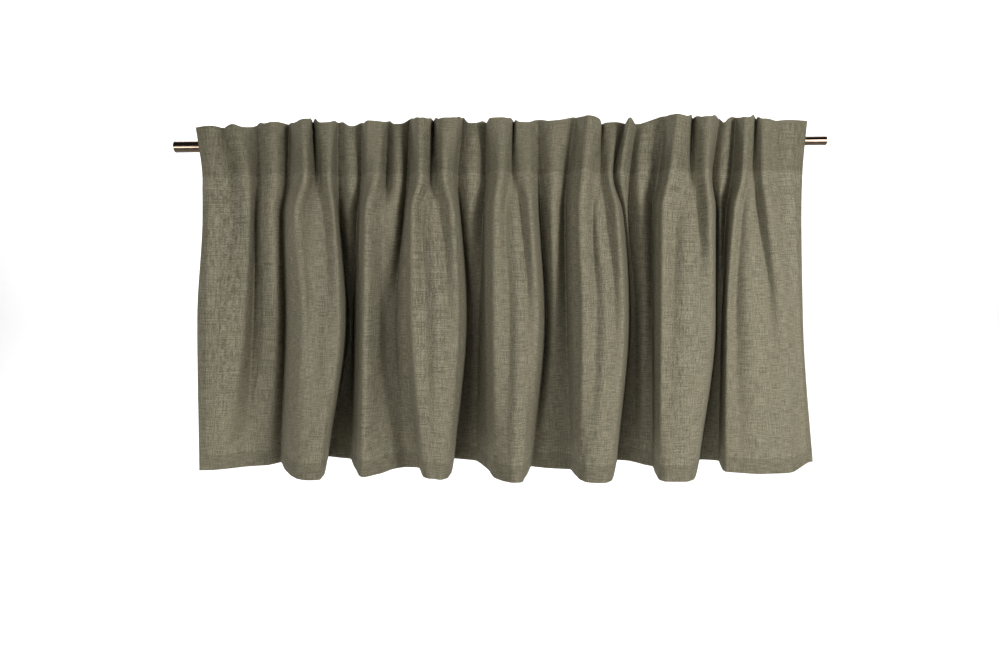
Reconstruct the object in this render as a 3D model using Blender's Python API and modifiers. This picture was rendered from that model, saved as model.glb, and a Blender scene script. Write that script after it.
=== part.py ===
"""Gathered window valance on a telescopic curtain rod, in metres, +Z up.

The origin is on the rod's axis, half way along it. +X runs along the rod and the front of
the cloth looks to -Y. The cloth is one piece: a skirt that hangs in uneven folds, a pocket
that the rod runs through, and a header that stands above the pocket.
"""

from collections import namedtuple
from math import radians

import bpy
import numpy as np

MM = 0.001

# The cloth, measured along itself down from the top edge
CLOTH_THICKNESS = 0.0015
TOP_EDGE_HEIGHT = 0.0215
CLOTH_LENGTH = 0.4495
HEADER_DEPTH = 0.0105
POCKET_BOTTOM = 0.072
FLARE_DEPTH = 0.118
MIDDLE_DEPTH = 0.260
HANGING_PLANE = 0.030  # where the folds' depths are measured from, in front of the rod
BACK_GATHER = 0.35  # how much of the front folds' depth the pocket's back layer has
TOP_GATHER = 0.12  # and how much it has where it crosses over the rod
BACK_FALL = 2.2  # above 1 the back layer falls straight first and comes forward low down
STEEPEST_HANG = 0.4  # least share of the cloth's length that goes into its drop
EVENING_WIDTH = 9.0  # in fold lines, over which the weave evens out the hang of the hem
CORNER_LIFT = 0.012  # how far the hem's right corner curls up, and over what width
CORNER_WIDTH = 0.020
GATHER_FOOT = -0.015  # the deepest that a fold goes in the header and the pocket
LEAST_STEP = 0.0016  # between two points of a row of the header or the pocket
STEPS_PER_FOLD_LINE = 2
FLARE_ROWS = 3
SKIRT_ROWS = 7
POCKET_ROWS = 3
BACK_ROWS = 3

# The rod: a wide tube from the left end and a narrower one that slides into it
ROD_LENGTH = 0.874
WIDE_TUBE_DIAMETER = 0.016
NARROW_TUBE_DIAMETER = 0.012
SLIDING_GAP = 0.0003
TUBE_WALL = (WIDE_TUBE_DIAMETER - NARROW_TUBE_DIAMETER) / 2 - SLIDING_GAP
WIDE_TUBE_END = 0.090
NARROW_TUBE_START = -0.060
ROD_SIDES = 32
SHARP_EDGE = 40  # degrees; flatter edges of the rod are shaded smooth
POCKET_RADIUS = 0.0099  # from the rod's axis to the middle of the cloth that lies on it

# The viewing point that the fold lines are laid out from
EYE_X = 0.046
EYE_DISTANCE = 0.929

# Each fold line, in millimetres: where it crosses five heights, as seen against the hanging
# plane, and how far it stands out in front of that plane at each of them
FoldLine = namedtuple(
    "FoldLine",
    "name top pocket flare middle hem out_top out_pocket out_flare out_middle out_hem",
)
FOLDS = (
    FoldLine("left edge", -394, -385, -385, -392, -389, -12, -9, -6, 16, 46),
    FoldLine("left band", -375, -372, -373, -376, -378, -4, -8, 2, 24, 45),
    FoldLine("valley 0", -357, -350, -348, -361, -371, -17, -16, -6, 25, 44),
    FoldLine("crest 1", -340, -327, -325, -333, -362, 8, 6, 8, 26, 42),
    FoldLine("valley 1", -312, -311, -314, -317, -324, -16, -19, -20, -10, 26),
    FoldLine("crest 2", -291, -289, -293, -288, -300, 12, 8, 10, 8, 22),
    FoldLine("valley 2", -269, -271, -277, -274, -280, -16, -19, -16, -15, 8),
    FoldLine("flank 3", -260, -259, -268, -263, -273, 10, 9, 15, 38, 56),
    FoldLine("crest 3", -251, -247, -259, -249, -264, 27, 24, 26, 58, 86),
    FoldLine("dip 3a", -241, -238, -245, -241, -257, 8, -1, 10, 53, 98),
    FoldLine("swell 3", -237, -234, -234, -230, -243, -19, -7, 12, 48, 104),
    FoldLine("dip 3b", -232, -228, -223, -218, -229, 3, -4, 8, 51, 102),
    FoldLine("crest 4", -216, -216, -210, -203, -223, 8, 14, 24, 54, 84),
    FoldLine("valley 4", -204, -204, -202, -190, -216, -17, -20, -28, -28, -18),
    FoldLine("bottom 5", -188, -186, -190, -187, -201, -8, -7, -13, -32, -12),
    FoldLine("valley 5", -172, -173, -178, -184, -187, -16, -20, -27, -30, -6),
    FoldLine("shoulder 6", -164, -165, -172, -177, -181, 14, 6, 10, 20, 44),
    FoldLine("crest 6", -148, -153, -165, -167, -171, 8, 14, 26, 44, 86),
    FoldLine("valley 6", -137, -139, -144, -146, -150, -18, -19, 4, 0, 72),
    FoldLine("crest 7", -124, -125, -127, -138, -132, -5, 2, 2, -4, 50),
    FoldLine("valley 7", -109, -113, -117, -128, -114, -18, -20, -20, -2, 40),
    FoldLine("foot 8", -105, -107, -112, -116, -97, -4, -4, 10, 38, 44),
    FoldLine("crest 8", -97, -95, -105, -103, -90, 27, 24, 28, 56, 90),
    FoldLine("dip 8a", -84, -84, -93, -88, -84, 14, 2, 10, 51, 94),
    FoldLine("swell 8", -78, -79, -80, -72, -77, -19, -7, 13, 59, 93),
    FoldLine("dip 8b", -73, -73, -67, -60, -70, 12, 1, 9, 53, 94),
    FoldLine("crest 9", -63, -64, -54, -48, -61, 24, 22, 27, 54, 86),
    FoldLine("shoulder 9", -47, -54, -47, -39, -55, 22, 8, 14, 30, 62),
    FoldLine("valley 9", -40, -46, -42, -32, -50, -12, -19, -28, -32, -22),
    FoldLine("bottom 10", -23, -27, -29, -27, -38, -4, -3, -9, -30, -18),
    FoldLine("valley 10", -9, -9, -13, -18, -22, -14, -19, -25, -27, -10),
    FoldLine("shoulder 11", -3, -3, -7, -8, -7, 20, 2, 8, 22, 36),
    FoldLine("crest 11", 12, 10, 4, 4, 4, 22, 21, 26, 44, 82),
    FoldLine("dip 11a", 22, 20, 16, 20, 16, 8, 0, 9, 39, 96),
    FoldLine("swell 11", 27, 25, 27, 34, 27, -18, -7, 12, 48, 103),
    FoldLine("dip 11b", 31, 30, 38, 45, 37, -2, -2, 8, 43, 102),
    FoldLine("crest 12", 44, 45, 49, 57, 43, -3, 8, 24, 45, 76),
    FoldLine("valley 12", 57, 60, 62, 69, 50, -14, -20, -27, -18, 28),
    FoldLine("crest 13", 80, 79, 78, 80, 74, 3, 4, 6, 8, 38),
    FoldLine("valley 13", 106, 96, 93, 95, 100, -2, -18, -20, -4, 44),
    FoldLine("flank 14", 115, 107, 104, 107, 107, 14, 8, 14, 38, 74),
    FoldLine("crest 14", 125, 119, 115, 119, 114, 25, 22, 28, 56, 96),
    FoldLine("dip 14a", 137, 131, 129, 133, 123, 12, 2, 10, 49, 106),
    FoldLine("swell 14", 141, 138, 136, 146, 134, -19, -7, 13, 56, 108),
    FoldLine("dip 14b", 146, 143, 148, 157, 144, -10, -4, 9, 51, 107),
    FoldLine("crest 15", 159, 151, 160, 168, 153, -8, 6, 25, 54, 96),
    FoldLine("valley 15", 170, 157, 168, 178, 161, -17, -14, -26, -30, -14),
    FoldLine("pinch 16", 177, 166, 172, 181, 172, 14, 5, -20, -30, -14),
    FoldLine("valley 16", 184, 178, 176, 184, 183, -16, -20, -28, -28, -8),
    FoldLine("crest 17", 195, 191, 192, 196, 196, -10, -2, -4, -9, 4),
    FoldLine("valley 17", 221, 212, 205, 205, 206, -2, -17, -22, -16, 12),
    FoldLine("flank 18", 230, 221, 212, 211, 210, 16, 10, 12, 34, 50),
    FoldLine("crest 18", 239, 230, 221, 219, 216, 26, 24, 28, 54, 78),
    FoldLine("dip 18a", 252, 244, 237, 230, 225, 14, 6, 11, 49, 84),
    FoldLine("swell 18", 257, 254, 251, 250, 236, -16, -5, 14, 55, 84),
    FoldLine("dip 18b", 265, 261, 265, 266, 248, 10, 2, 9, 48, 83),
    FoldLine("crest 19", 279, 275, 279, 281, 258, 17, 16, 26, 40, 72),
    FoldLine("valley 19", 290, 282, 288, 288, 266, -17, -20, -27, -37, -34),
    FoldLine("bottom 20", 301, 294, 292, 291, 275, -9, -7, -13, -38, -36),
    FoldLine("valley 20", 311, 306, 299, 294, 289, -17, -20, -28, -35, -34),
    FoldLine("crest 21", 324, 321, 311, 301, 299, 8, 12, 20, 22, 24),
    FoldLine("dip 21a", 332, 328, 320, 311, 316, 3, -1, 8, 17, 26),
    FoldLine("swell 21", 337, 333, 329, 332, 338, -18, -7, 12, 28, 29),
    FoldLine("dip 21b", 341, 338, 341, 355, 360, -2, -5, 4, 19, 25),
    FoldLine("crest 22", 350, 347, 353, 370, 378, 2, 6, 20, 24, 20),
    FoldLine("valley 22", 363, 360, 367, 384, 391, -10, -6, 1, 9, 6),
    FoldLine("swell 22", 378, 376, 382, 391, 399, -7, -4, 4, 3, 1),
    FoldLine("right edge", 401, 395, 394, 396, 408, -12, -10, -8, -4, -2),
)

# How far the top edge stands above its level (or below, where rise is negative), in
# millimetres: round a place across the cloth, and over how wide a stretch
EdgeRise = namedtuple("EdgeRise", "name place wide rise")
EDGE_RISES = (
    EdgeRise("level with fold 1", -330, 9, -4.0),
    EdgeRise("filled before fold 2", -313, 8, 5.0),
    EdgeRise("filled before fold 3", -271, 7, 4.5),
    EdgeRise("filled before fold 4", -236, 6, 3.0),
    EdgeRise("filled before fold 5", -202, 6, 5.0),
    EdgeRise("sunk over fold 5", -188, 7, -1.5),
    EdgeRise("filled before fold 6", -176, 5, 4.5),
    EdgeRise("filled before fold 7", -141, 5, 5.0),
    EdgeRise("filled before fold 8", -112, 6, 6.0),
    EdgeRise("lip of fold 8", -89, 6, 1.5),
    EdgeRise("filled before fold 10", -41, 6, 5.5),
    EdgeRise("filled before fold 11", -13, 5, 3.5),
    EdgeRise("filled before fold 12", 26, 5, 4.5),
    EdgeRise("filled before fold 13", 56, 6, 4.5),
    EdgeRise("lifted before fold 14", 102, 15, 3.0),
    EdgeRise("sunk beside the pinch", 192, 8, -1.5),
    EdgeRise("lifted before fold 18", 216, 14, 3.0),
    EdgeRise("filled before fold 19", 257, 5, 4.0),
    EdgeRise("lip of fold 19", 284, 7, 4.0),
    EdgeRise("notch at fold 20", 298, 4, -4.5),
    EdgeRise("curl beside the notch", 310, 8, 5.0),
    EdgeRise("filled before fold 22", 335, 6, 3.5),
)


def clear_scene():
    """Empties the scene that the script is run in."""
    for item in list(bpy.data.objects):
        bpy.data.objects.remove(item, do_unlink=True)


def make_material(name, colour, roughness, metallic):
    """A Principled material of one colour."""
    material = bpy.data.materials.new(name)
    material.use_nodes = True
    shader = material.node_tree.nodes["Principled BSDF"]
    shader.inputs["Base Color"].default_value = (*colour, 1.0)
    shader.inputs["Roughness"].default_value = roughness
    shader.inputs["Metallic"].default_value = metallic
    return material


def tangents(values, positions):
    """Slopes of a curve that never overshoots: at each knot the harmonic mean of the slopes
    on both sides of it, or level where they differ in sign. The knots lie along axis 0."""
    steps = np.diff(positions).reshape((-1,) + (1,) * (values.ndim - 1))
    slopes = np.diff(values, axis=0) / steps
    before, after = slopes[:-1], slopes[1:]
    total = before + after
    safe = np.where(np.abs(total) > 1e-12, total, 1.0)
    inner = np.where(before * after > 0, 2 * before * after / safe, 0.0)
    return np.concatenate([slopes[:1], inner, slopes[-1:]])


def hermite(values, slopes, positions, wanted):
    """The cubic through values, with those slopes, read at the wanted positions."""
    at = np.clip(np.searchsorted(positions, wanted, "right") - 1, 0, len(positions) - 2)
    width = (positions[at + 1] - positions[at]).reshape((-1,) + (1,) * (values.ndim - 1))
    t = (wanted - positions[at]).reshape(width.shape) / width
    start = values[at] * (2 * t**3 - 3 * t**2 + 1)
    end = values[at + 1] * (3 * t**2 - 2 * t**3)
    leaving = slopes[at] * width * (t**3 - 2 * t**2 + t)
    arriving = slopes[at + 1] * width * (t**3 - t**2)
    return start + end + leaving + arriving


def fold_lines_at(depths):
    """Across and out of every fold line at each depth down the cloth."""
    knots = np.array([0, POCKET_BOTTOM, FLARE_DEPTH, MIDDLE_DEPTH, CLOTH_LENGTH])
    table = np.array([line[1:] for line in FOLDS], float).T * MM
    return [
        hermite(values, tangents(values, knots), knots, depths)
        for values in (table[:5], table[5:])
    ]


def roundness(out):
    """How broad each fold line is: wide on a crest and narrow in a valley."""
    beside = (out[:-2] + out[2:]) / 2
    return 1.05 + 0.5 * np.tanh((out[1:-1] - beside) / (10 * MM))


def folded_rows(depths):
    """Rows of cloth, one for each depth: across and out of its points, on rounded folds.

    Between two fold lines the row is a cubic, with its tangent across broad on crests and
    narrow in valleys, and its tangent outward level at each of them.
    """
    across, out = (values.T for values in fold_lines_at(depths))
    lines = np.arange(len(FOLDS), dtype=float)
    columns = np.linspace(0, len(FOLDS) - 1, (len(FOLDS) - 1) * STEPS_PER_FOLD_LINE + 1)
    slopes = tangents(across, lines)
    slopes[1:-1] *= roundness(out)
    seen = hermite(across, slopes, lines, columns).T
    stand_out = hermite(out, tangents(out, lines), lines, columns).T
    gathered = depths <= POCKET_BOTTOM
    stand_out[gathered] = np.maximum(stand_out[gathered], GATHER_FOOT)
    nearer = 1 - stand_out / (EYE_DISTANCE - HANGING_PLANE)
    return EYE_X + (seen - EYE_X) * nearer, stand_out + HANGING_PLANE


def kept_apart(across):
    """Rows whose points keep a least distance across, so that no gather laps over the next."""
    apart = np.arange(across.shape[1]) * LEAST_STEP
    return np.maximum.accumulate(across - apart, axis=1) + apart


def evened(rows):
    """Each row's values averaged with their neighbours', the nearest counting most."""
    reach = int(round(EVENING_WIDTH * STEPS_PER_FOLD_LINE))
    weights = np.hanning(2 * reach + 3)[1:-1]
    padded = np.pad(rows, ((0, 0), (reach, reach)), mode="edge")
    windows = np.lib.stride_tricks.sliding_window_view(padded, 2 * reach + 1, axis=1)
    return windows @ (weights / weights.sum())


def hang(across, out, depths, height):
    """Heights of the rows below the first, which is at height: what is left of the cloth
    between two rows once it has gone sideways and outward, evened out by the weave."""
    sideways = np.diff(across, axis=0) ** 2 + np.diff(out, axis=0) ** 2
    along = np.diff(depths)[:, None]
    drop = np.sqrt(np.maximum(along**2 - sideways, (STEEPEST_HANG * along) ** 2))
    fallen = np.concatenate([np.zeros_like(across[:1]), np.cumsum(drop, axis=0)])
    return height - evened(fallen)


def pocket_back(seam, bottom):
    """Rows of the back layer of the pocket: from the header's seam back over the top of the
    rod, down behind it, and forward again to the bottom seam.

    It lies on the rod behind the highest front fold, and the deeper a front fold, the
    further it stands off in its own gathers.
    """
    gather = bottom[:, 1] - bottom[:, 1].min()
    diagonal = POCKET_RADIUS / np.sqrt(2)
    zero = np.zeros_like(gather)
    over = [zero, POCKET_RADIUS + TOP_GATHER * gather]
    shoulder = [diagonal + BACK_GATHER / 2 * gather, diagonal + TOP_GATHER * gather]
    behind = [POCKET_RADIUS + BACK_GATHER * gather, zero]
    rows = [np.stack([zero, y, z], axis=-1) for y, z in (over, shoulder, behind)]
    for share in np.arange(1, BACK_ROWS) / BACK_ROWS:
        forward = share**BACK_FALL
        rows.append(rows[2] * (1 - forward) + bottom * forward)
        rows[-1][:, 2] = bottom[:, 2] * share
    for row in rows:
        down = (seam[:, 2] - row[:, 2]) / (seam[:, 2] - bottom[:, 2])
        row[:, 0] = seam[:, 0] * (1 - down) + bottom[:, 0] * down
    return np.stack(rows)


def grid_faces(rows):
    """Quads between neighbouring rows of vertex numbers."""
    upper, lower = rows[:-1], rows[1:]
    quads = np.stack([upper[:, :-1], lower[:, :-1], lower[:, 1:], upper[:, 1:]], axis=-1)
    return quads.reshape(-1, 4)


def uneven_edges(across, depths):
    """How far each point is lifted by the rises of the top edge, which fade out down to the
    pocket's bottom, and by the curl of the hem's right corner."""
    lift = np.zeros_like(across)
    for edge in EDGE_RISES:
        bell = np.exp(-(((across - edge.place * MM) / (edge.wide * MM)) ** 2))
        fade = np.clip(1 - depths / POCKET_BOTTOM, 0, 1) ** 2
        lift += edge.rise * MM * bell * fade[:, None]
    corner = np.exp(-(((across - across[-1, -1]) / CORNER_WIDTH) ** 2))
    return lift + CORNER_LIFT * corner * ((depths / CLOTH_LENGTH) ** 8)[:, None]


def cloth_surface():
    """Middle surface of the cloth: vertices and quads.

    The front sheet runs from the top edge down past the rod to the hem. The back layer of
    the pocket leaves it at the header's seam and joins it again at the bottom seam.
    """
    pocket_depths = np.linspace(HEADER_DEPTH, POCKET_BOTTOM, POCKET_ROWS + 1)
    flare_depths = np.linspace(POCKET_BOTTOM, FLARE_DEPTH, FLARE_ROWS + 1)
    skirt_depths = np.linspace(FLARE_DEPTH, CLOTH_LENGTH, SKIRT_ROWS + 1)
    depths = np.concatenate([[0.0], pocket_depths, flare_depths[1:], skirt_depths[1:]])
    seam, bottom = 1, 1 + POCKET_ROWS
    across, out = folded_rows(depths)
    across[: bottom + 1] = kept_apart(across[: bottom + 1])
    heights = TOP_EDGE_HEIGHT - np.repeat(depths[:, None], across.shape[1], axis=1)
    heights[bottom:] = hang(across[bottom:], out[bottom:], depths[bottom:], heights[bottom, 0])
    heights += uneven_edges(across, depths)
    front = np.stack([across, -out, heights], axis=-1)
    back = pocket_back(front[seam], front[bottom])

    rows, columns = front.shape[:2]
    front_rows = np.arange(rows * columns).reshape(rows, columns)
    back_rows = rows * columns + np.arange(back.shape[0] * columns).reshape(-1, columns)
    around = np.concatenate([front_rows[seam, None], back_rows, front_rows[bottom, None]])
    points = np.concatenate([front.reshape(-1, 3), back.reshape(-1, 3)])
    return points, np.concatenate([grid_faces(front_rows), grid_faces(around)])


def make_cloth(collection):
    """The whole cloth as one solid of even thickness."""
    points, quads = cloth_surface()
    mesh = bpy.data.meshes.new("valance_cloth")
    mesh.from_pydata(points.tolist(), [], quads.tolist())
    mesh.shade_smooth()
    cloth = bpy.data.objects.new("valance_cloth", mesh)
    cloth.data.materials.append(make_material("green_grey_linen", (0.16, 0.15, 0.11), 0.9, 0.0))
    thicken = cloth.modifiers.new("cloth thickness", "SOLIDIFY")
    thicken.solidify_mode = "NON_MANIFOLD"
    thicken.nonmanifold_thickness_mode = "CONSTRAINTS"
    thicken.nonmanifold_merge_threshold = 0.00001
    thicken.thickness = CLOTH_THICKNESS
    thicken.offset = 0.0
    collection.objects.link(cloth)


def make_tube(collection, name, closed_end, open_end, diameter, material):
    """A tube along X, shut at its outer end and open at its inner one: half of its section
    turned about the axis."""
    outer, inner = diameter / 2, diameter / 2 - TUBE_WALL
    floor = closed_end + np.sign(open_end - closed_end) * TUBE_WALL
    section = [
        (closed_end, 0.0),
        (closed_end, outer),
        (open_end, outer),
        (open_end, inner),
        (floor, inner),
        (floor, 0.0),
    ]
    mesh = bpy.data.meshes.new(name)
    edges = [(corner, corner + 1) for corner in range(len(section) - 1)]
    mesh.from_pydata([(x, 0.0, z) for x, z in section], edges, [])
    tube = bpy.data.objects.new(name, mesh)
    turn = tube.modifiers.new("turn about the axis", "SCREW")
    turn.axis = "X"
    turn.angle = radians(360)
    turn.steps = ROD_SIDES
    turn.render_steps = ROD_SIDES
    turn.use_merge_vertices = True
    turn.merge_threshold = 0.00001
    turn.use_normal_flip = open_end > closed_end
    collection.objects.link(tube)
    turned = tube.evaluated_get(bpy.context.evaluated_depsgraph_get())
    tube.data = bpy.data.meshes.new_from_object(turned)
    tube.modifiers.clear()
    tube.data.shade_smooth()
    tube.data.set_sharp_from_angle(angle=radians(SHARP_EDGE))
    tube.data.materials.append(material)


def make_rod(collection):
    """The two tubes of the rod, the narrow one inside the wide one."""
    steel = make_material("polished_steel", (0.62, 0.60, 0.57), 0.18, 1.0)
    half = ROD_LENGTH / 2
    make_tube(collection, "rod_wide_tube", -half, WIDE_TUBE_END, WIDE_TUBE_DIAMETER, steel)
    make_tube(collection, "rod_narrow_tube", half, NARROW_TUBE_START, NARROW_TUBE_DIAMETER, steel)


def main():
    clear_scene()
    collection = bpy.data.collections.new("window_valance")
    bpy.context.scene.collection.children.link(collection)
    make_cloth(collection)
    make_rod(collection)


main()
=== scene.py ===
"""Gathered linen-look valance on its telescopic rod: cloth, stitches, rod finish and studio.

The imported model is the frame. Everything is in metres: +X along the rod, +Z up, and the
front of the cloth looks to -Y. The rod's axis is the X axis.
"""

from collections import namedtuple
from math import cos, pi, radians, sin

import bpy
import numpy as np
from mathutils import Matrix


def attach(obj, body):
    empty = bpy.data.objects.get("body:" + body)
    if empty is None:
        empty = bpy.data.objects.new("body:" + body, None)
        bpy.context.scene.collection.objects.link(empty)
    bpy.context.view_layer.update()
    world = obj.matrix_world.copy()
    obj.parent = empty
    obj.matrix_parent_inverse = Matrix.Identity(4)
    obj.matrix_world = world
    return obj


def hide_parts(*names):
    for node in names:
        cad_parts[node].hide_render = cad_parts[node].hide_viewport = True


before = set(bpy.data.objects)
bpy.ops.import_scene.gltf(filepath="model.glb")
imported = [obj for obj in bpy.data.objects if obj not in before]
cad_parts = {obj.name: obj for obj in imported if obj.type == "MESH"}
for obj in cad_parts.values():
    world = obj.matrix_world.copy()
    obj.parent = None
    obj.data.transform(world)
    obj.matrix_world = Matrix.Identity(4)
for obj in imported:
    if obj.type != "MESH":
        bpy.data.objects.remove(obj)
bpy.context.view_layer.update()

MM = 0.001
TINY = 1e-12

# The cloth, measured along itself down from the top edge, as in the solid it replaces
TOP_EDGE_HEIGHT = 0.0215
CLOTH_LENGTH = 0.4495
HEADER_DEPTH = 0.0105
POCKET_BOTTOM = 0.072
FLARE_DEPTH = 0.118
MIDDLE_DEPTH = 0.260
HANGING_PLANE = 0.030  # in front of the rod's axis
POCKET_RADIUS = 0.0096  # how near the back layer comes to that axis
BACK_GATHER = 0.35  # how far the back's gathers stand off, for each length of a front fold
TOP_GATHER = 0.12
BACK_FALL = 2.2  # the power with which the back layer draws forward to the bottom seam
STEEPEST_HANG = 0.4  # the least share of its length that a piece of cloth drops
EVENING_WIDTH = 9.0  # in fold lines, each way
EYE_X = 0.046  # the viewing point, from the middle of the rod and from its axis
EYE_DISTANCE = 0.929

# The five heights at which each fold line is placed
FOLD_DEPTHS = np.array([0, POCKET_BOTTOM, FLARE_DEPTH, MIDDLE_DEPTH, CLOTH_LENGTH])

# How finely the cloth is laid out, and how it is made up
STEPS_PER_FOLD_LINE = 9
SKIRT_STEP = 0.0095
WEAVE_THICKNESS = 0.0005
FLAT_WIDTH = 2.0
HEM_HEIGHT = 0.007
SIDE_HEM_WIDTH = 0.0095
HEM_GAP = 0.00045  # half the space between the two layers of a hem
HEADER_GAP = 0.0005  # the same for the header
SOFT_EDGE = 0.0008  # over which the painted shade of double cloth sets in
CORNER_LIFT = 0.0105  # how far the hem's right corner curls up, and over what width
CORNER_WIDTH = 0.017
CORNER_FADE = 8  # the power of the depth with which the curl sets in
HEADER_ROWS = 5
POCKET_ROWS = 10
HEM_ROWS = 4
BACK_ROWS = 6
OVER_ROD_ROWS = 5
ROOF_ROWS = 4
TURN_STEPS = 4
TURN_BACK_ROWS = 3
STITCH_LENGTH = 0.0024
STITCH_PITCH = 0.0032
STITCH_RADIUS = 0.00022
BEAD_SIDES = 6
BEAD_RINGS = 5
BEAD_END = 0.04  # the square of a bead's half-width at its very ends, in radii
HEM_SEAM = CLOTH_LENGTH - HEM_HEIGHT + 0.001  # a little below the hem's upper edge

# How round the fold lines are: the breadth of a level one, what a full crest adds to it or a
# full valley takes off, and how far out counts as full
LEVEL_BREADTH = 1.05
CREST_BREADTH = 0.5
FULL_CREST = 0.010

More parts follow.
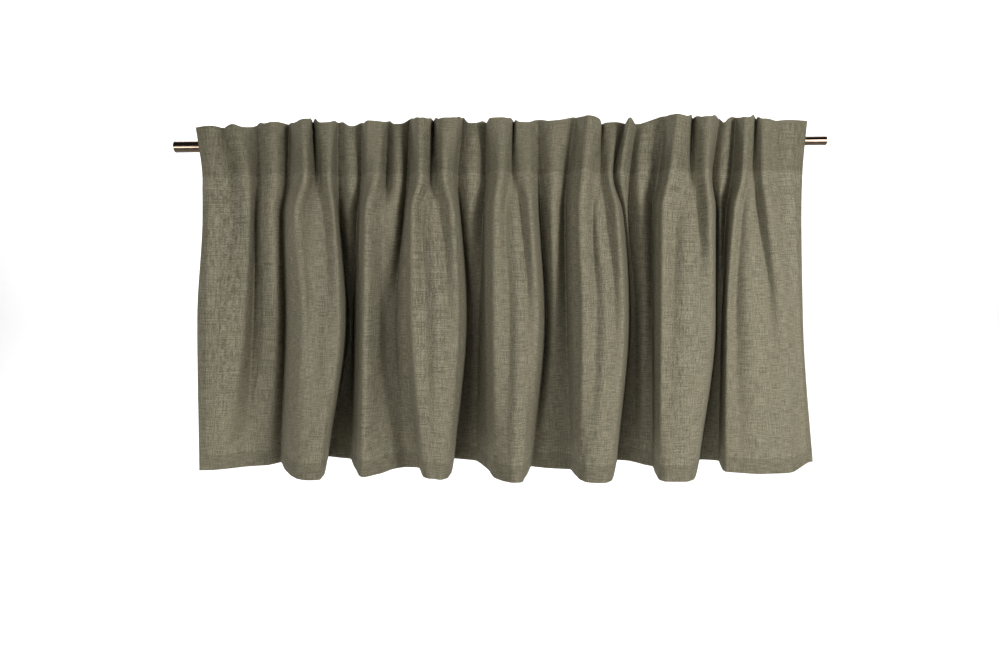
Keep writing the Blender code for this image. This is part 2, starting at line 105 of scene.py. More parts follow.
# Each fold line, in millimetres: where it crosses five heights, as seen against the hanging
# plane, and how far it stands out in front of that plane at each of them
FoldLine = namedtuple(
    "FoldLine",
    "name top pocket flare middle hem out_top out_pocket out_flare out_middle out_hem",
)
FOLDS = (
    FoldLine("left edge", -394, -385, -385, -392, -389, -12, -9, -6, 16, 46),
    FoldLine("left band", -375, -372, -373, -376, -378, -4, -8, 2, 24, 45),
    FoldLine("valley 0", -357, -350, -348, -361, -371, -17, -16, -6, 25, 44),
    FoldLine("crest 1", -340, -327, -325, -333, -362, 8, 6, 8, 26, 42),
    FoldLine("valley 1", -312, -311, -314, -317, -324, -16, -19, -20, -10, 26),
    FoldLine("crest 2", -291, -289, -293, -288, -300, 12, 8, 10, 8, 22),
    FoldLine("valley 2", -269, -271, -277, -274, -280, -16, -19, -16, -15, 8),
    FoldLine("flank 3", -260, -259, -268, -263, -273, 10, 9, 15, 38, 56),
    FoldLine("crest 3", -251, -247, -259, -249, -264, 27, 24, 26, 58, 86),
    FoldLine("dip 3a", -241, -238, -245, -241, -257, 8, -1, 10, 53, 98),
    FoldLine("swell 3", -237, -234, -234, -230, -243, -19, -7, 12, 48, 104),
    FoldLine("dip 3b", -232, -228, -223, -218, -229, 3, -4, 8, 51, 102),
    FoldLine("crest 4", -216, -216, -210, -203, -223, 8, 14, 24, 54, 84),
    FoldLine("valley 4", -204, -204, -202, -190, -216, -17, -20, -28, -28, -18),
    FoldLine("bottom 5", -188, -186, -190, -187, -201, -8, -7, -13, -32, -12),
    FoldLine("valley 5", -172, -173, -178, -184, -187, -16, -20, -27, -30, -6),
    FoldLine("shoulder 6", -164, -165, -172, -177, -181, 14, 6, 10, 20, 44),
    FoldLine("crest 6", -148, -153, -165, -167, -171, 8, 14, 26, 44, 86),
    FoldLine("valley 6", -137, -139, -144, -146, -150, -18, -19, 4, 0, 72),
    FoldLine("crest 7", -124, -125, -127, -138, -132, -5, 2, 2, -4, 50),
    FoldLine("valley 7", -109, -113, -117, -128, -114, -18, -20, -20, -2, 40),
    FoldLine("foot 8", -105, -107, -112, -116, -97, -4, -4, 10, 38, 44),
    FoldLine("crest 8", -97, -95, -105, -103, -90, 27, 24, 28, 56, 90),
    FoldLine("dip 8a", -84, -84, -93, -88, -84, 14, 2, 10, 51, 94),
    FoldLine("swell 8", -78, -79, -80, -72, -77, -19, -7, 13, 59, 93),
    FoldLine("dip 8b", -73, -73, -67, -60, -70, 12, 1, 9, 53, 94),
    FoldLine("crest 9", -63, -64, -54, -48, -61, 24, 22, 27, 54, 86),
    FoldLine("shoulder 9", -47, -54, -47, -39, -55, 22, 8, 14, 30, 62),
    FoldLine("valley 9", -40, -46, -42, -32, -50, -12, -19, -28, -32, -22),
    FoldLine("bottom 10", -23, -27, -29, -27, -38, -4, -3, -9, -30, -18),
    FoldLine("valley 10", -9, -9, -13, -18, -22, -14, -19, -25, -27, -10),
    FoldLine("shoulder 11", -3, -3, -7, -8, -7, 20, 2, 8, 22, 36),
    FoldLine("crest 11", 12, 10, 4, 4, 4, 22, 21, 26, 44, 82),
    FoldLine("dip 11a", 22, 20, 16, 20, 16, 8, 0, 9, 39, 96),
    FoldLine("swell 11", 27, 25, 27, 34, 27, -18, -7, 12, 48, 103),
    FoldLine("dip 11b", 31, 30, 38, 45, 37, -2, -2, 8, 43, 102),
    FoldLine("crest 12", 44, 45, 49, 57, 43, -3, 8, 24, 45, 76),
    FoldLine("valley 12", 57, 60, 62, 69, 50, -14, -20, -27, -18, 28),
    FoldLine("crest 13", 80, 79, 78, 80, 74, 3, 4, 6, 8, 38),
    FoldLine("valley 13", 106, 96, 93, 95, 100, -2, -18, -20, -4, 44),
    FoldLine("flank 14", 115, 107, 104, 107, 107, 14, 8, 14, 38, 74),
    FoldLine("crest 14", 125, 119, 115, 119, 114, 25, 22, 28, 56, 96),
    FoldLine("dip 14a", 137, 131, 129, 133, 123, 12, 2, 10, 49, 106),
    FoldLine("swell 14", 141, 138, 136, 146, 134, -19, -7, 13, 56, 108),
    FoldLine("dip 14b", 146, 143, 148, 157, 144, -10, -4, 9, 51, 107),
    FoldLine("crest 15", 159, 151, 160, 168, 153, -8, 6, 25, 54, 96),
    FoldLine("valley 15", 170, 157, 168, 178, 161, -17, -14, -26, -30, -14),
    FoldLine("pinch 16", 177, 166, 172, 181, 172, 14, 5, -20, -30, -14),
    FoldLine("valley 16", 184, 178, 176, 184, 183, -16, -20, -28, -28, -8),
    FoldLine("crest 17", 195, 191, 192, 196, 196, -10, -2, -4, -9, 4),
    FoldLine("valley 17", 221, 212, 205, 205, 206, -2, -17, -22, -16, 12),
    FoldLine("flank 18", 230, 221, 212, 211, 210, 16, 10, 12, 34, 50),
    FoldLine("crest 18", 239, 230, 221, 219, 216, 26, 24, 28, 54, 78),
    FoldLine("dip 18a", 252, 244, 237, 230, 225, 14, 6, 11, 49, 84),
    FoldLine("swell 18", 257, 254, 251, 250, 236, -16, -5, 14, 55, 84),
    FoldLine("dip 18b", 265, 261, 265, 266, 248, 10, 2, 9, 48, 83),
    FoldLine("crest 19", 279, 275, 279, 281, 258, 17, 16, 26, 40, 72),
    FoldLine("valley 19", 290, 282, 288, 288, 266, -17, -20, -27, -37, -34),
    FoldLine("bottom 20", 301, 294, 292, 291, 275, -9, -7, -13, -38, -36),
    FoldLine("valley 20", 311, 306, 299, 294, 289, -17, -20, -28, -35, -34),
    FoldLine("crest 21", 324, 321, 311, 301, 299, 8, 12, 20, 22, 24),
    FoldLine("dip 21a", 332, 328, 320, 311, 316, 3, -1, 8, 17, 26),
    FoldLine("swell 21", 337, 333, 329, 332, 338, -18, -7, 12, 28, 29),
    FoldLine("dip 21b", 341, 338, 341, 355, 360, -2, -5, 4, 19, 25),
    FoldLine("crest 22", 350, 347, 353, 370, 378, 2, 6, 20, 24, 20),
    FoldLine("valley 22", 363, 360, 367, 384, 391, -10, -6, 1, 9, 6),
    FoldLine("swell 22", 378, 376, 382, 391, 399, -7, -4, 4, 3, 1),
    FoldLine("right edge", 401, 395, 394, 396, 408, -12, -10, -8, -4, -2),
)

# How far the top edge stands above its level (or below, where rise is negative), in
# millimetres: round a place across the cloth, and over how wide a stretch
EdgeRise = namedtuple("EdgeRise", "name place wide rise")
EDGE_RISES = (
    EdgeRise("level with fold 1", -330, 9, -4.0),
    EdgeRise("filled before fold 2", -313, 8, 5.0),
    EdgeRise("filled before fold 3", -271, 7, 4.5),
    EdgeRise("filled before fold 4", -236, 6, 3.0),
    EdgeRise("filled before fold 5", -202, 6, 5.0),
    EdgeRise("sunk over fold 5", -188, 7, -1.5),
    EdgeRise("filled before fold 6", -176, 5, 4.5),
    EdgeRise("filled before fold 7", -141, 5, 5.0),
    EdgeRise("filled before fold 8", -112, 6, 6.0),
    EdgeRise("lip of fold 8", -89, 6, 1.5),
    EdgeRise("filled before fold 10", -41, 6, 5.5),
    EdgeRise("filled before fold 11", -13, 5, 3.5),
    EdgeRise("filled before fold 12", 26, 5, 4.5),
    EdgeRise("filled before fold 13", 56, 6, 4.5),
    EdgeRise("lifted before fold 14", 102, 15, 3.0),
    EdgeRise("sunk beside the pinch", 192, 8, -1.5),
    EdgeRise("lifted before fold 18", 216, 14, 3.0),
    EdgeRise("filled before fold 19", 257, 5, 4.0),
    EdgeRise("lip of fold 19", 284, 7, 4.0),
    EdgeRise("notch at fold 20", 298, 4, -4.5),
    EdgeRise("curl beside the notch", 310, 8, 5.0),
    EdgeRise("filled before fold 22", 335, 6, 3.5),
)

# Finer rises of the top edge, in millimetres, placed as seen against the hanging plane,
# because the walls of a slit lie in the line of sight
FINE_RISES = (
    EdgeRise("over fold 3", -249, 6, -2.0),
    EdgeRise("slit between folds 3 and 4", -237, 4.5, 6.0),
    EdgeRise("slit between folds 4 and 5", -206, 4.5, 5.0),
    EdgeRise("over fold 6", -144, 4.5, -3.0),
    EdgeRise("before fold 7", -135, 4.5, 2.5),
    EdgeRise("left wall of fold 8", -106, 5, 4.5),
    EdgeRise("over fold 8", -95, 5, -2.0),
    EdgeRise("slit between folds 8 and 9", -78, 4.5, 7.0),
    EdgeRise("over fold 9", -46, 4, -3.5),
    EdgeRise("right wall of fold 9", -39, 3.5, 3.5),
    EdgeRise("before fold 13", 63.5, 6, 2.7),
    EdgeRise("before fold 14", 105, 7, 2.0),
    EdgeRise("before fold 18", 220, 10, 2.5),
    EdgeRise("slit before fold 19", 257, 4.5, 3.5),
    EdgeRise("over fold 19", 282, 4, -1.5),
    EdgeRise("lip before the notch", 291, 4.5, 7.0),
    EdgeRise("behind the curl", 311.5, 4.5, 3.5),
    EdgeRise("slit before fold 22", 337, 4, 4.0),
)

# Soft creases besides the folds, in millimetres: where the middle of each lies, how far its
# line leans across for each length down, its reach down and across, and its height (a
# trough where rise is negative)
Crease = namedtuple("Crease", "name place down lean long wide rise")
CREASES = (
    Crease("slant beside the left edge", -348, 60, 0.4, 24, 5, -1.6),
    Crease("ridge between folds 1 and 2", -312, 40, 0.2, 26, 4, 1.6),
    Crease("hook beside fold 3", -275, 56, 0.5, 12, 5, 2.0),
    Crease("left panel, low", -345, 300, -0.04, 80, 9, 2.0),
    Crease("left panel, high", -362, 170, 0.05, 60, 8, -1.5),
    Crease("front of fold 3", -246, 135, -0.1, 34, 4, -1.2),
    Crease("front of fold 8", -82, 140, 0.1, 40, 4, -1.2),
    Crease("front of fold 11", 24, 150, 0.1, 46, 4, -1.2),
    Crease("front of fold 14", 131, 200, 0.08, 52, 5, -1.4),
    Crease("right of the pinch", 203, 43, 1.0, 13, 6, -1.6),
    Crease("below the pinch", 206, 84, -0.4, 22, 5, -1.6),
    Crease("front of fold 18", 252, 200, 0.1, 60, 6, -1.4),
    Crease("right panel, high", 356, 24, 0.2, 20, 7, -1.2),
    Crease("right panel, middle", 322, 192, 0.1, 60, 7, -1.6),
    Crease("right panel, low", 352, 320, 0.08, 70, 9, 1.8),
)


def tangents(values, positions):
    """Slopes of a curve that never overshoots: at each knot the harmonic mean of the slopes
    on both sides of it, or level where they differ in sign; at an end, the slope beside it.
    The knots lie along axis 0."""
    steps = np.diff(positions).reshape((-1,) + (1,) * (values.ndim - 1))
    slopes = np.diff(values, axis=0) / steps
    before, after = slopes[:-1], slopes[1:]
    total = before + after
    safe = np.where(np.abs(total) > TINY, total, 1.0)
    inner = np.where(before * after > 0, 2 * before * after / safe, 0.0)
    return np.concatenate([slopes[:1], inner, slopes[-1:]])


def hermite(values, slopes, positions, wanted):
    """The cubic through values, with those slopes, read at the wanted positions."""
    at = np.clip(np.searchsorted(positions, wanted, "right") - 1, 0, len(positions) - 2)
    width = (positions[at + 1] - positions[at]).reshape((-1,) + (1,) * (values.ndim - 1))
    t = (wanted - positions[at]).reshape(width.shape) / width
    start = values[at] * (2 * t**3 - 3 * t**2 + 1)
    end = values[at + 1] * (3 * t**2 - 2 * t**3)
    leaving = slopes[at] * width * (t**3 - 2 * t**2 + t)
    arriving = slopes[at + 1] * width * (t**3 - t**2)
    return start + end + leaving + arriving


def down_the_cloth(values, depths):
    """Values given at the five heights, read at each depth on a curve without overshoot."""
    return hermite(values, tangents(values, FOLD_DEPTHS), FOLD_DEPTHS, depths)


def roundness(out):
    """How broad each fold line is: wide on a crest and narrow in a valley."""
    beside = (out[:-2] + out[2:]) / 2
    return LEVEL_BREADTH + CREST_BREADTH * np.tanh((out[1:-1] - beside) / FULL_CREST)


def folded_rows(depths):
    """Rows of cloth, one for each depth: across and out of its points, on rounded folds.

    Between two fold lines the row is a cubic. Its tangent across is broad on crests and
    narrow in valleys, and its tangent outward is level wherever the row turns back.
    """
    table = np.array([line[1:] for line in FOLDS], float).T * MM
    across = down_the_cloth(table[:5], depths).T
    out = down_the_cloth(table[5:], depths).T
    lines = np.arange(len(FOLDS), dtype=float)
    columns = np.linspace(0, len(FOLDS) - 1, (len(FOLDS) - 1) * STEPS_PER_FOLD_LINE + 1)
    slopes = tangents(across, lines)
    slopes[1:-1] *= roundness(out)
    seen = hermite(across, slopes, lines, columns).T
    out = hermite(out, tangents(out, lines), lines, columns).T
    nearer = 1 - out / (EYE_DISTANCE - HANGING_PLANE)
    return EYE_X + (seen - EYE_X) * nearer, out + HANGING_PLANE


def evened(rows):
    """Each row's values averaged with their neighbours', the nearest counting most."""
    reach = int(round(EVENING_WIDTH * STEPS_PER_FOLD_LINE))
    weights = np.hanning(2 * reach + 3)[1:-1]
    padded = np.pad(rows, ((0, 0), (reach, reach)), mode="edge")
    windows = np.lib.stride_tricks.sliding_window_view(padded, 2 * reach + 1, axis=1)
    return windows @ (weights / weights.sum())


def hang(across, out, depths, height):
    """Heights of the rows below the first, which is at height: what is left of the cloth
    between two rows once it has gone sideways and outward, evened out by the weave."""
    sideways = np.diff(across, axis=0) ** 2 + np.diff(out, axis=0) ** 2
    along = np.diff(depths)[:, None]
    drop = np.sqrt(np.maximum(along**2 - sideways, (STEEPEST_HANG * along) ** 2))
    fallen = np.concatenate([np.zeros_like(across[:1]), np.cumsum(drop, axis=0)])
    return height - evened(fallen)


def creased(across, depths):
    """How much further out each point stands on the creases: each is a bell across and a bell
    down, about a middle line that leans."""
    stand_out = np.zeros_like(across)
    for crease in CREASES:
        below = depths[:, None] - crease.down * MM
        beside = across - crease.place * MM - crease.lean * below
        bells = (beside / (crease.wide * MM)) ** 2 + (below / (crease.long * MM)) ** 2
        stand_out += crease.rise * MM * np.exp(-bells)
    return stand_out


def front_sheet():
    """Depths and points of the front of the cloth, from the top edge to the hem's fold.

    The top edge is level but for a bell at each of its rises, which fades out down to the
    pocket's bottom seam. Below that seam the cloth hangs, and the hem's right corner curls
    up by a bell across times a high power of the depth.
    """
    header = np.linspace(0, HEADER_DEPTH, HEADER_ROWS)
    pocket = np.linspace(HEADER_DEPTH, POCKET_BOTTOM, POCKET_ROWS)[1:]
    steps = int((CLOTH_LENGTH - HEM_HEIGHT - POCKET_BOTTOM) / SKIRT_STEP)
    skirt = np.linspace(POCKET_BOTTOM, CLOTH_LENGTH - HEM_HEIGHT, steps)[1:]
    hem = np.linspace(CLOTH_LENGTH - HEM_HEIGHT, CLOTH_LENGTH, HEM_ROWS)[1:]
    depths = np.concatenate([header, pocket, skirt, hem])
    across, out = folded_rows(depths)
    out = out + creased(across, depths)
    heights = TOP_EDGE_HEIGHT - np.repeat(depths[:, None], across.shape[1], axis=1)
    seen = EYE_X + (across - EYE_X) * (EYE_DISTANCE - HANGING_PLANE) / (EYE_DISTANCE - out)
    fade = np.clip(1 - depths / POCKET_BOTTOM, 0, 1)[:, None] ** 2
    for rises, places in ((EDGE_RISES, across), (FINE_RISES, seen)):
        for edge in rises:
            bell = np.exp(-(((places - edge.place * MM) / (edge.wide * MM)) ** 2))
            heights += edge.rise * MM * bell * fade
    below = int(np.argmin(np.abs(depths - POCKET_BOTTOM)))
    heights[below:] = hang(across[below:], out[below:], depths[below:], heights[below, 0])
    corner = np.exp(-(((across - across[-1, -1]) / CORNER_WIDTH) ** 2))
    heights += CORNER_LIFT * corner * ((depths / CLOTH_LENGTH) ** CORNER_FADE)[:, None]
    return depths, np.stack([across, -out, heights], axis=-1)


def unit(vectors):
    """The vectors at length one."""
    return vectors / np.maximum(np.linalg.norm(vectors, axis=-1, keepdims=True), TINY)


def read_rows(rows, at):
    """Rows of an array read at fractional row numbers, in a straight line between two."""
    low = np.clip(np.floor(at).astype(int), 0, len(rows) - 2)
    share = (at - low).reshape((-1,) + (1,) * (rows.ndim - 1))
    return rows[low] * (1 - share) + rows[low + 1] * share


def turned_edge(width, gap):
    """Path round a folded edge and back behind by width: how far past the edge each step is
    (positive) or how far back from it (negative), and how far behind the front layer."""
    angles = np.linspace(0, pi, TURN_STEPS + 1)[1:]
    past = gap * np.sin(angles)
    behind = gap * (1 - np.cos(angles))
    back = -np.linspace(0, width, TURN_BACK_ROWS + 1)[1:]
    flat = np.full(TURN_BACK_ROWS, 2 * gap)
    return np.concatenate([past, back]), np.concatenate([behind, flat])


def pocket_back(seam, bottom):
    """Rows of the back layer, from the bottom seam up behind the rod and over its top to the
    header's seam. It lies on the rod behind the highest front fold, and the deeper a front
    fold, the further it stands off in its own gathers."""
    gather = bottom[:, 1] - bottom[:, 1].min()
    angles = np.linspace(0, pi / 2, OVER_ROD_ROWS)[:, None]
    side_swell = POCKET_RADIUS + BACK_GATHER * gather
    top_swell = POCKET_RADIUS + TOP_GATHER * gather
    zero = np.zeros_like(gather)
    over = [zero + 0 * angles, side_swell * np.cos(angles), top_swell * np.sin(angles)]
    over = np.stack(over, -1)
    share = np.linspace(1, 0, BACK_ROWS)[:-1, None]
    forward = share**BACK_FALL
    below = np.stack(
        [
            zero + 0 * share,
            side_swell * (1 - forward) + bottom[:, 1] * forward,
            bottom[:, 2] * share,
        ],
        -1,
    )
    ahead = np.linspace(0, 1, ROOF_ROWS)[1:-1, None]
    roof = np.stack(
        [
            zero + 0 * ahead,
            seam[:, 1] * ahead,
            top_swell * (1 - ahead) + seam[:, 2] * ahead,
        ],
        -1,
    )
    rows = np.concatenate([below, over, roof])
    down = (seam[:, 2] - rows[..., 2]) / (seam[:, 2] - bottom[:, 2])
    rows[..., 0] = seam[:, 0] * (1 - down) + bottom[:, 0] * down
    return rows


def along_rows(points, axis):
    """Distance along the points from the first, added up along the axis."""
    steps = np.linalg.norm(np.diff(points, axis=axis), axis=-1)
    start = np.zeros_like(np.take(steps, [0], axis=axis))
    return np.concatenate([start, np.cumsum(steps, axis=axis)], axis=axis)


def make_up_cloth():
    """The whole cloth as one grid of points, with its place on the flat cut piece.

    Rows run from the pocket's bottom seam up behind the rod, along the header's back, round
    the top edge, down the front, round the hem's fold and up behind it. Columns run from the
    turned left hem to the turned right one. The stitches get the front sheet, the directions
    behind it, its depths, and the width along the hem at each column.
    """
    depths, front = front_sheet()
    down = unit(np.gradient(front, axis=0))
    across = unit(np.gradient(front, axis=1))
    behind = unit(np.cross(across, down))
    behind *= np.sign(behind[..., 1:2].mean())
    seam = int(np.argmin(np.abs(depths - HEADER_DEPTH)))
    bottom = int(np.argmin(np.abs(depths - POCKET_BOTTOM)))

    pocket_end = front[bottom] + behind[bottom] * 2 * HEADER_GAP
    header_end = front[seam] + behind[seam] * 2 * HEADER_GAP
    pocket = pocket_back(header_end, pocket_end)
    angles = np.linspace(pi, 0, TURN_STEPS + 1)[1:-1, None, None]
    turn = front[0] - down[0] * HEADER_GAP * np.sin(angles)
    turn += behind[0] * HEADER_GAP * (1 - np.cos(angles))
    header = front[seam:0:-1] + behind[seam:0:-1] * 2 * HEADER_GAP
    past, set_back = turned_edge(HEM_HEIGHT, HEM_GAP)
    row_numbers = np.arange(len(depths))
    hem_rows = np.interp(CLOTH_LENGTH + np.minimum(past, 0), depths, row_numbers)
    hem = read_rows(front, hem_rows) + read_rows(behind, hem_rows) * set_back[:, None, None]
    hem += read_rows(down, hem_rows) * np.maximum(past, 0)[:, None, None]
    rows = np.concatenate([pocket, header, turn, front, hem])

    left_width = along_rows(front[-1], 0)
    right_width = left_width[-1] - left_width
    past, set_back = turned_edge(SIDE_HEM_WIDTH, HEM_GAP)
    row_across = unit(np.gradient(rows, axis=1))
    row_down = unit(np.gradient(rows, axis=0))
    row_behind = unit(np.cross(row_across, row_down))
    row_behind *= np.sign(row_behind[len(rows) // 2, :, 1:2].mean())
    columns = np.arange(rows.shape[1], dtype=float)
    sides = []
    for widths, outward in ((left_width, -1.0), (right_width[::-1], 1.0)):
        at = np.interp(-np.minimum(past, 0), widths, columns)
        at = at if outward < 0 else columns[-1] - at
        side = read_rows(rows.swapaxes(0, 1), at)
        side += read_rows(row_behind.swapaxes(0, 1), at) * set_back[:, None, None]
        along = read_rows(row_across.swapaxes(0, 1), at)
        side += along * (outward * np.maximum(past, 0))[:, None, None]
        sides.append(side.swapaxes(0, 1))
    grid = np.concatenate([sides[0][:, ::-1], rows, sides[1]], axis=1)

    cut_width = left_width / left_width[-1] * FLAT_WIDTH
    side_steps = np.hypot(np.diff(past, prepend=0), np.diff(set_back, prepend=0))
    side_cut = np.cumsum(side_steps)
    u = np.concatenate([-side_cut[::-1], cut_width, cut_width[-1] + side_cut])
    v = along_rows(grid[:, grid.shape[1] // 2], 0)
    v -= v[len(pocket) + len(header) + len(turn)]
    u, v = np.broadcast_arrays(u[None, :], v[:, None])
    return grid, np.stack([u, v], axis=-1), front, behind, depths, left_width


def make_mesh(name, points, quads, material, uv=None):
    """A mesh object at the origin from arrays of points and quads, smooth all over."""
    mesh = bpy.data.meshes.new(name)
    mesh.vertices.add(len(points))
    mesh.vertices.foreach_set("co", points.astype(np.float32).ravel())
    mesh.loops.add(quads.size)
    mesh.loops.foreach_set("vertex_index", quads.astype(np.int32).ravel())
    mesh.polygons.add(len(quads))
    mesh.polygons.foreach_set("loop_start", np.arange(0, quads.size, 4, dtype=np.int32))
    mesh.update(calc_edges=True)
    mesh.shade_smooth()
    if uv is not None:
        layer = mesh.uv_layers.new(name="UVMap")
        layer.data.foreach_set("uv", uv[quads.ravel()].astype(np.float32).ravel())
    mesh.materials.append(material)
    piece = bpy.data.objects.new(name, mesh)
    bpy.context.scene.collection.objects.link(piece)
    return piece


def grid_quads(rows, columns):
    """Quads of a grid, wound so that the front of the cloth faces -Y."""
    numbers = np.arange(rows * columns).reshape(rows, columns)
    upper, lower = numbers[:-1], numbers[1:]
    quads = np.stack([upper[:, :-1], lower[:, :-1], lower[:, 1:], upper[:, 1:]], axis=-1)
    return quads.reshape(-1, 4)


def nodes_of(name):
    """A new material, its node tree and its Principled shader."""
    material = bpy.data.materials.new(name)
    material.use_nodes = True
    tree = material.node_tree
    return material, tree, tree.nodes["Principled BSDF"]


def add_node(tree, kind, **settings):
    """A node of that kind with its settings, and its numbered or named inputs."""
    inputs = settings.pop("inputs", {})
    node = tree.nodes.new(kind)
    for name, value in settings.items():
        setattr(node, name, value)
    for name, value in inputs.items():
        if isinstance(value, bpy.types.NodeSocket):
            tree.links.new(value, node.inputs[name])
        else:
            node.inputs[name].default_value = value
    return node


def streaks(tree, uv, across, along, name, detail=2.0):
    """Noise drawn out along the threads: across and along are its cell sizes in metres."""
    scaled = add_node(
        tree, "ShaderNodeMapping", name=name,
        inputs={"Vector": uv, "Scale": (1 / across, 1 / along, 1.0)},
    )
    noise = add_node(
        tree, "ShaderNodeTexNoise", noise_dimensions="2D",
        inputs={"Vector": scaled.outputs[0], "Scale": 1.0, "Detail": detail, "Roughness": 0.6},
    )
    return noise.outputs["Fac"]


def remap(tree, value, low, high, to_low, to_high):
    """The value taken from one range to another and clamped."""
    node = add_node(
        tree, "ShaderNodeMapRange", clamp=True,
        inputs={
            "Value": value, "From Min": low, "From Max": high, "To Min": to_low, "To Max": to_high,
        },
    )
    return node.outputs[0]


def maths(tree, operation, first, second):
    """One sum of two values."""
    node = add_node(tree, "ShaderNodeMath", operation=operation, inputs={0: first, 1: second})
    return node.outputs[0]


def blended(tree, share, first, second):
    """Two colours blended."""
    inputs = {0: share, 6: first, 7: second}
    return add_node(tree, "ShaderNodeMix", data_type="RGBA", inputs=inputs).outputs[2]


# The cloth's colours
DARK_THREAD = (0.118, 0.108, 0.071, 1)
PALE_THREAD = (0.260, 0.239, 0.172, 1)
DARK_WEFT_SLUB = (0.085, 0.078, 0.050, 1)
DARK_WARP_SLUB = (0.085, 0.080, 0.052, 1)
WARM_DYE = (0.20, 0.17, 0.11, 1)
# Painted shade: a darker tone for the double cloth of the hems, header and pocket, standing for the
# light it keeps out from behind
DOUBLE_CLOTH_PAINTED_SHADE = (0.06, 0.056, 0.034, 1)
DARK_STITCH = (0.09, 0.085, 0.06, 1)
PALE_STITCH = (0.17, 0.16, 0.12, 1)

# The noises that lay them out: how wide and how long the cells are on the cloth, in metres
WARP_CELL = (0.0009, 0.018)
WEFT_CELL = (0.019, 0.0009)
GRAIN_CELL = (0.0013, 0.0013)
WARP_SLUB_CELL = (0.0013, 0.016)
WEFT_SLUB_CELL = (0.016, 0.0012)
DYE_CELL = (0.05, 0.07)

# Between which values of its noise each tone sets in
THREAD_RANGE = (1.25, 1.75)
WEFT_SLUB_RANGE = (0.60, 0.74)
WARP_SLUB_RANGE = (0.62, 0.76)
DYE_RANGE = (0.35, 0.65)

# How much each covers of the colours below it (the hem and pocket shares lay painted shade on
# double cloth), and how much light goes through the cloth
WEFT_SLUB_SHARE = 0.55
WARP_SLUB_SHARE = 0.50
DYE_SHARE = 0.16
HEM_PAINTED_SHADE_SHARE = 0.24
POCKET_PAINTED_SHADE_SHARE = 0.30
LIGHT_THROUGH = 0.06

# The cloth's relief, and how many cells of twist the thread has for each metre
BUMP_STRENGTH = 0.3
BUMP_DISTANCE = 0.0003
TWIST_SCALE = 2500.0


def linen():
    """Green-grey linen look: uneven threads both ways, dark slubs, uneven dye, painted shade where
    the cloth is double, standing for the light it keeps out from behind, and a little light let
    through."""
    material, tree, shader = nodes_of("green_grey_linen")
    uv = add_node(tree, "ShaderNodeUVMap", uv_map="UVMap").outputs[0]
    warp = streaks(tree, uv, *WARP_CELL, "warp threads")
    weft = streaks(tree, uv, *WEFT_CELL, "weft threads")
    grain = streaks(tree, uv, *GRAIN_CELL, "grain", 1.0)
    warp_slub = streaks(tree, uv, *WARP_SLUB_CELL, "warp slubs", 1.0)
    weft_slub = streaks(tree, uv, *WEFT_SLUB_CELL, "weft slubs", 1.0)
    cloudy = streaks(tree, uv, *DYE_CELL, "uneven dye", 3.0)
    threads = maths(tree, "ADD", maths(tree, "ADD", warp, weft), grain)
    thread_tone = remap(tree, threads, *THREAD_RANGE, 0.0, 1.0)
    base = blended(tree, thread_tone, DARK_THREAD, PALE_THREAD)
    dark_weft = remap(tree, weft_slub, *WEFT_SLUB_RANGE, 0.0, WEFT_SLUB_SHARE)
    base = blended(tree, dark_weft, base, DARK_WEFT_SLUB)
    dark_warp = remap(tree, warp_slub, *WARP_SLUB_RANGE, 0.0, WARP_SLUB_SHARE)
    base = blended(tree, dark_warp, base, DARK_WARP_SLUB)
    warm = remap(tree, cloudy, *DYE_RANGE, 0.0, DYE_SHARE)
    base = blended(tree, warm, base, WARM_DYE)
    place = add_node(tree, "ShaderNodeSeparateXYZ", inputs={0: uv}).outputs
    # Painted shade: the side hems, the bottom hem, and the header and pocket down to the pocket's
    # bottom seam are darkened where the cloth is double, for the light it keeps out from behind
    left = remap(tree, place[0], SIDE_HEM_WIDTH - SOFT_EDGE, SIDE_HEM_WIDTH, 1.0, 0.0)
    right_hem = FLAT_WIDTH - SIDE_HEM_WIDTH
    right = remap(tree, place[0], right_hem, right_hem + SOFT_EDGE, 0.0, 1.0)
    hem_top = CLOTH_LENGTH - HEM_HEIGHT
    hem = remap(tree, place[1], hem_top, hem_top + SOFT_EDGE, 0.0, 1.0)
    shaded_hems_mask = maths(tree, "MAXIMUM", maths(tree, "MAXIMUM", left, right), hem)
    pocket = remap(tree, place[1], POCKET_BOTTOM - 4 * SOFT_EDGE, POCKET_BOTTOM, 1.0, 0.0)
    base = blended(tree, remap(tree, shaded_hems_mask, 0.0, 1.0, 0.0, HEM_PAINTED_SHADE_SHARE), base, DOUBLE_CLOTH_PAINTED_SHADE)
    base = blended(tree, remap(tree, pocket, 0.0, 1.0, 0.0, POCKET_PAINTED_SHADE_SHARE), base, DOUBLE_CLOTH_PAINTED_SHADE)
    tree.links.new(base, shader.inputs["Base Color"])
    shader.inputs["Roughness"].default_value = 0.88
    shader.inputs["Specular IOR Level"].default_value = 0.12
    bump = add_node(
        tree, "ShaderNodeBump",
        inputs={"Height": threads, "Strength": BUMP_STRENGTH, "Distance": BUMP_DISTANCE},
    )
    tree.links.new(bump.outputs[0], shader.inputs["Normal"])
    through = add_node(tree, "ShaderNodeBsdfTranslucent", inputs={"Color": base})
    both = add_node(
        tree, "ShaderNodeMixShader",
        inputs={0: LIGHT_THROUGH, 1: shader.outputs[0], 2: through.outputs[0]},
    )
    tree.links.new(both.outputs[0], tree.nodes["Material Output"].inputs["Surface"])
    return material


def thread():
    """Sewing thread, a shade darker than the cloth, with its twist."""
    material, tree, shader = nodes_of("sewing_thread")
    place = add_node(tree, "ShaderNodeTexCoord").outputs["Object"]
    twist = add_node(
        tree, "ShaderNodeTexNoise", inputs={"Vector": place, "Scale": TWIST_SCALE, "Detail": 1.0}
    )
    colour = blended(tree, twist.outputs["Fac"], DARK_STITCH, PALE_STITCH)
    tree.links.new(colour, shader.inputs["Base Color"])
    shader.inputs["Roughness"].default_value = 0.6
    return material


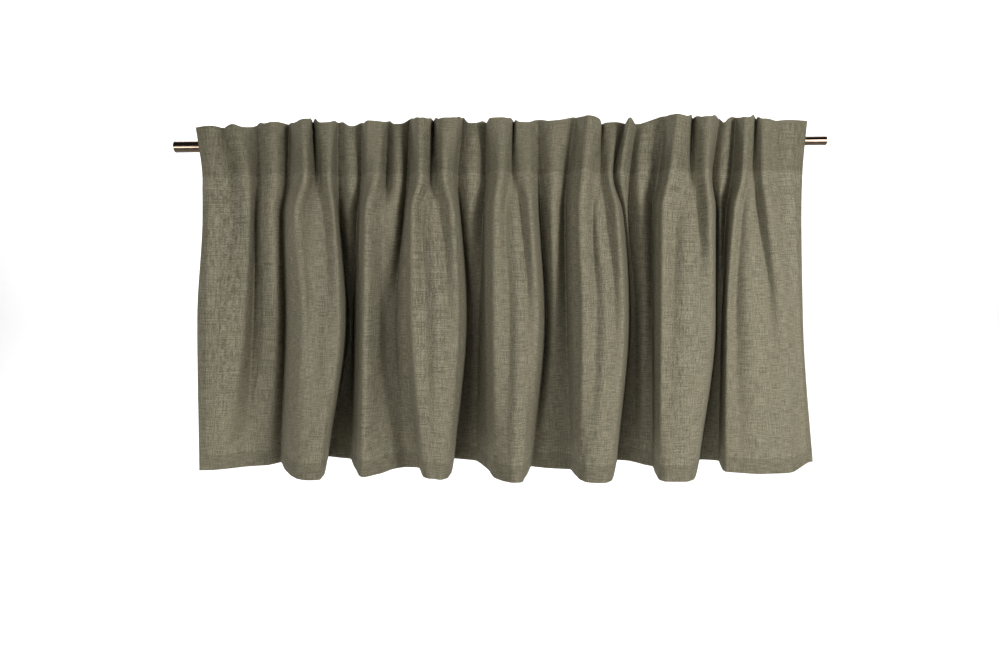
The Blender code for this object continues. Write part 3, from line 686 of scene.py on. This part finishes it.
# The rod's metal: its colours, how many marks it has for each metre along the tube and
# across, and how rough it is from one end of their range to the other
DARK_METAL = (0.060, 0.043, 0.031, 1)
PALE_METAL = (0.090, 0.068, 0.052, 1)
MARKS_PER_METRE = (6.0, 2200.0, 2200.0)
MARK_RANGE = (0.3, 0.7)
METAL_ROUGHNESS = (0.09, 0.16)


def rod_metal():
    """Dark polished metal with fine drawing marks along the tube."""
    material, tree, shader = nodes_of("polished_rod")
    place = add_node(tree, "ShaderNodeTexCoord").outputs["Object"]
    drawn = add_node(tree, "ShaderNodeMapping", inputs={"Vector": place, "Scale": MARKS_PER_METRE})
    marks = add_node(
        tree, "ShaderNodeTexNoise", inputs={"Vector": drawn.outputs[0], "Scale": 1.0, "Detail": 3.0}
    ).outputs["Fac"]
    colour = blended(tree, marks, DARK_METAL, PALE_METAL)
    tree.links.new(colour, shader.inputs["Base Color"])
    roughness = remap(tree, marks, *MARK_RANGE, *METAL_ROUGHNESS)
    tree.links.new(roughness, shader.inputs["Roughness"])
    shader.inputs["Metallic"].default_value = 1.0
    return material


def make_stitches(front, behind, depths, widths, material):
    """Stitches in running lines: small six-sided beads with round ends along the front.

    A bead's half-width, in radii, is the square root of one less the sixth power of the
    place along it, which runs from its middle to one at its ends. Its place and its direction
    are read from the front sheet, at one depth for each seam and at even steps across.
    """
    across = np.arange(SIDE_HEM_WIDTH, widths[-1] - SIDE_HEM_WIDTH, STITCH_PITCH)
    columns = np.interp(across, widths, np.arange(len(widths)))
    row_numbers = np.arange(len(depths))
    places, directions, outward = [], [], []
    for depth in (HEADER_DEPTH, POCKET_BOTTOM, HEM_SEAM):
        at = np.interp(depth, depths, row_numbers)
        row = read_rows(front, np.array([at]))[0]
        back = read_rows(behind, np.array([at]))[0]
        places.append(read_rows(row, columns))
        directions.append(read_rows(np.gradient(row, axis=0), columns))
        outward.append(-read_rows(back, columns))
    places, directions, outward = (np.concatenate(x) for x in (places, directions, outward))
    directions, outward = unit(directions), unit(outward)
    third = unit(np.cross(directions, outward))
    rings = np.linspace(-1, 1, BEAD_RINGS)
    half = np.sqrt(np.clip(1 - rings**6, BEAD_END, 1))
    turns = np.arange(BEAD_SIDES) * 2 * pi / BEAD_SIDES
    along = np.repeat(rings, BEAD_SIDES) * STITCH_LENGTH / 2
    radius = np.repeat(half, BEAD_SIDES) * STITCH_RADIUS
    up = np.tile(np.sin(turns), BEAD_RINGS) * radius
    sideways = np.tile(np.cos(turns), BEAD_RINGS) * radius
    lifted = places + outward * (WEAVE_THICKNESS / 2)
    points = lifted[:, None] + directions[:, None] * along[:, None]
    points = points + outward[:, None] * up[:, None] + third[:, None] * sideways[:, None]
    every = bead_quads()[None] + BEAD_SIDES * BEAD_RINGS * np.arange(len(places))[:, None, None]
    return make_mesh("seam_stitches", points.reshape(-1, 3), every.reshape(-1, 4), material)


def bead_quads():
    """Quads of one bead: bands between its rings, and two quads over each six-sided end."""
    ring = np.arange(BEAD_SIDES)
    after = (ring + 1) % BEAD_SIDES
    band = np.stack([ring, after, after + BEAD_SIDES, ring + BEAD_SIDES], -1)
    bands = [band + BEAD_SIDES * k for k in range(BEAD_RINGS - 1)]
    first_end = np.array([[0, 3, 2, 1], [0, 5, 4, 3]])
    last_end = np.array([[0, 1, 2, 3], [0, 3, 4, 5]]) + BEAD_SIDES * (BEAD_RINGS - 1)
    return np.concatenate(bands + [first_end, last_end])


def make_cloth():
    """The cloth piece and its stitches, riding on the frame in place of the solid."""
    grid, uv, front, behind, depths, widths = make_up_cloth()
    quads = grid_quads(*grid.shape[:2])
    cloth = make_mesh("valance_linen", grid.reshape(-1, 3), quads, linen(), uv.reshape(-1, 2))
    thicken = cloth.modifiers.new("weave thickness", "SOLIDIFY")
    thicken.thickness = WEAVE_THICKNESS
    thicken.offset = 0.0
    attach(cloth, "root")
    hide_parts("valance_cloth")
    stitches = make_stitches(front, behind, depths, widths, thread())
    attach(stitches, "root")


def finish_rod():
    """The rod's tubes keep their solids and get their metal."""
    metal = rod_metal()
    for name in ("rod_wide_tube", "rod_narrow_tube"):
        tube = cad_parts[name]
        tube.data.materials.clear()
        tube.data.materials.append(metal)


# The studio: a pale floor that sweeps up behind, in metres
FLOOR_HEIGHT = -1.2
SWEEP_START = 1.9
SWEEP_RADIUS = 0.9
SWEEP_TOP = 3.4
SWEEP_STEPS = 24
STAGE_HALF_WIDTH = 6.0
STAGE_FRONT = -4.0
FLOOR_COLOUR = (0.9, 0.9, 0.9, 1)
SKY_COLOUR = (1, 1, 1, 1)
SKY_STRENGTH = 0.12

# Each lamp: its place, what it shines on, its size across and up, and its power in watts
Lamp = namedtuple("Lamp", "name place aim size power")
LAMPS = (
    Lamp("key", (-0.5, -2.1, 0.3), (0, 0, -0.2), (0.6, 0.6), 15),
    Lamp("right side", (1.05, -1.2, 0.1), (0.42, 0, -0.25), (0.4, 0.4), 16),
    Lamp("left strip", (-1.04, -1.16, -0.26), (-0.43, 0, 0), (0.1, 0.45), 4.2),
    Lamp("right strip", (0.93, -1.16, -0.26), (0.43, 0, 0), (0.1, 0.45), 4.2),
    Lamp("backdrop left", (-1.5, 1.2, 1.9), (-1.4, 2.4, -0.9), (1.8, 1.8), 100),
    Lamp("backdrop right", (1.4, 1.2, 1.9), (1.2, 2.4, -0.9), (1.8, 1.8), 85),
)


def make_stage():
    """A floor that runs back, turns up through a quarter circle and stands behind."""
    angles = np.linspace(0, pi / 2, SWEEP_STEPS)
    turn = SWEEP_START + SWEEP_RADIUS * np.sin(angles)
    back = np.concatenate([[STAGE_FRONT], turn, [SWEEP_START + SWEEP_RADIUS]])
    up = np.concatenate([[0.0], SWEEP_RADIUS * (1 - np.cos(angles)), [SWEEP_TOP]]) + FLOOR_HEIGHT
    left = np.stack([np.full_like(back, -STAGE_HALF_WIDTH), back, up], -1)
    right = left * (-1, 1, 1)
    points = np.stack([left, right], 1).reshape(-1, 3)
    first = np.arange(0, 2 * (len(back) - 1), 2)
    quads = np.stack([first, first + 1, first + 3, first + 2], -1)
    material, _, shader = nodes_of("pale_floor")
    shader.inputs["Base Color"].default_value = FLOOR_COLOUR
    shader.inputs["Roughness"].default_value = 0.9
    floor = make_mesh("studio_floor", points, quads, material)


def make_lamp(name, place, aim, size, power):
    """A soft white lamp at place, turned to shine on aim."""
    light = bpy.data.lights.new(name, "AREA")
    light.shape = "RECTANGLE"
    light.size, light.size_y = size
    light.energy = power
    lamp = bpy.data.objects.new(name, light)
    bpy.context.scene.collection.objects.link(lamp)
    lamp.location = place
    direction = np.subtract(aim, place)
    pitch = np.arctan2(np.hypot(direction[0], direction[1]), -direction[2])
    lamp.rotation_euler = (pitch, 0, np.arctan2(-direction[0], direction[1]))


def make_light():
    """Even sky light, a soft key lamp in front, one for the right side, a strip that shines
    in the rod at each end, and two lamps on the backdrop."""
    world = bpy.data.worlds.new("studio")
    world.use_nodes = True
    sky = world.node_tree.nodes["Background"]
    sky.inputs["Color"].default_value = SKY_COLOUR
    sky.inputs["Strength"].default_value = SKY_STRENGTH
    bpy.context.scene.world = world
    for lamp in LAMPS:
        make_lamp(*lamp)
    bpy.context.scene.view_settings.view_transform = "Standard"


# The camera, at the photograph's place: turned a little, level, with a raised picture
CAMERA_YAW = radians(2.43)
CAMERA_DISTANCE = 0.930
CAMERA_AIM_X = 0.0078  # where it looks, along the rod
CAMERA_HEIGHT = -0.2099
PLANE_SCALE = 0.00130  # metres for a pixel on the hanging plane
PICTURE_WIDTH = 1000
SENSOR_WIDTH = 36
HORIZON_ROW = 300
MIDDLE_ROW = 333.5


def make_camera():
    """The camera, level with the horizon of the picture and shifted up to frame it."""
    data = bpy.data.cameras.new("camera")
    data.sensor_width = SENSOR_WIDTH
    data.lens = (CAMERA_DISTANCE - HANGING_PLANE) / PLANE_SCALE * SENSOR_WIDTH / PICTURE_WIDTH
    data.shift_y = (HORIZON_ROW - MIDDLE_ROW) / PICTURE_WIDTH
    data.clip_start = 0.01
    camera = bpy.data.objects.new("camera", data)
    camera.location = (
        CAMERA_AIM_X + CAMERA_DISTANCE * sin(CAMERA_YAW),
        -CAMERA_DISTANCE * cos(CAMERA_YAW),
        CAMERA_HEIGHT,
    )
    camera.rotation_euler = (radians(90), 0, CAMERA_YAW)
    bpy.context.scene.collection.objects.link(camera)
    bpy.context.scene.camera = camera


make_camera()
make_cloth()
finish_rod()
make_stage()
make_light()
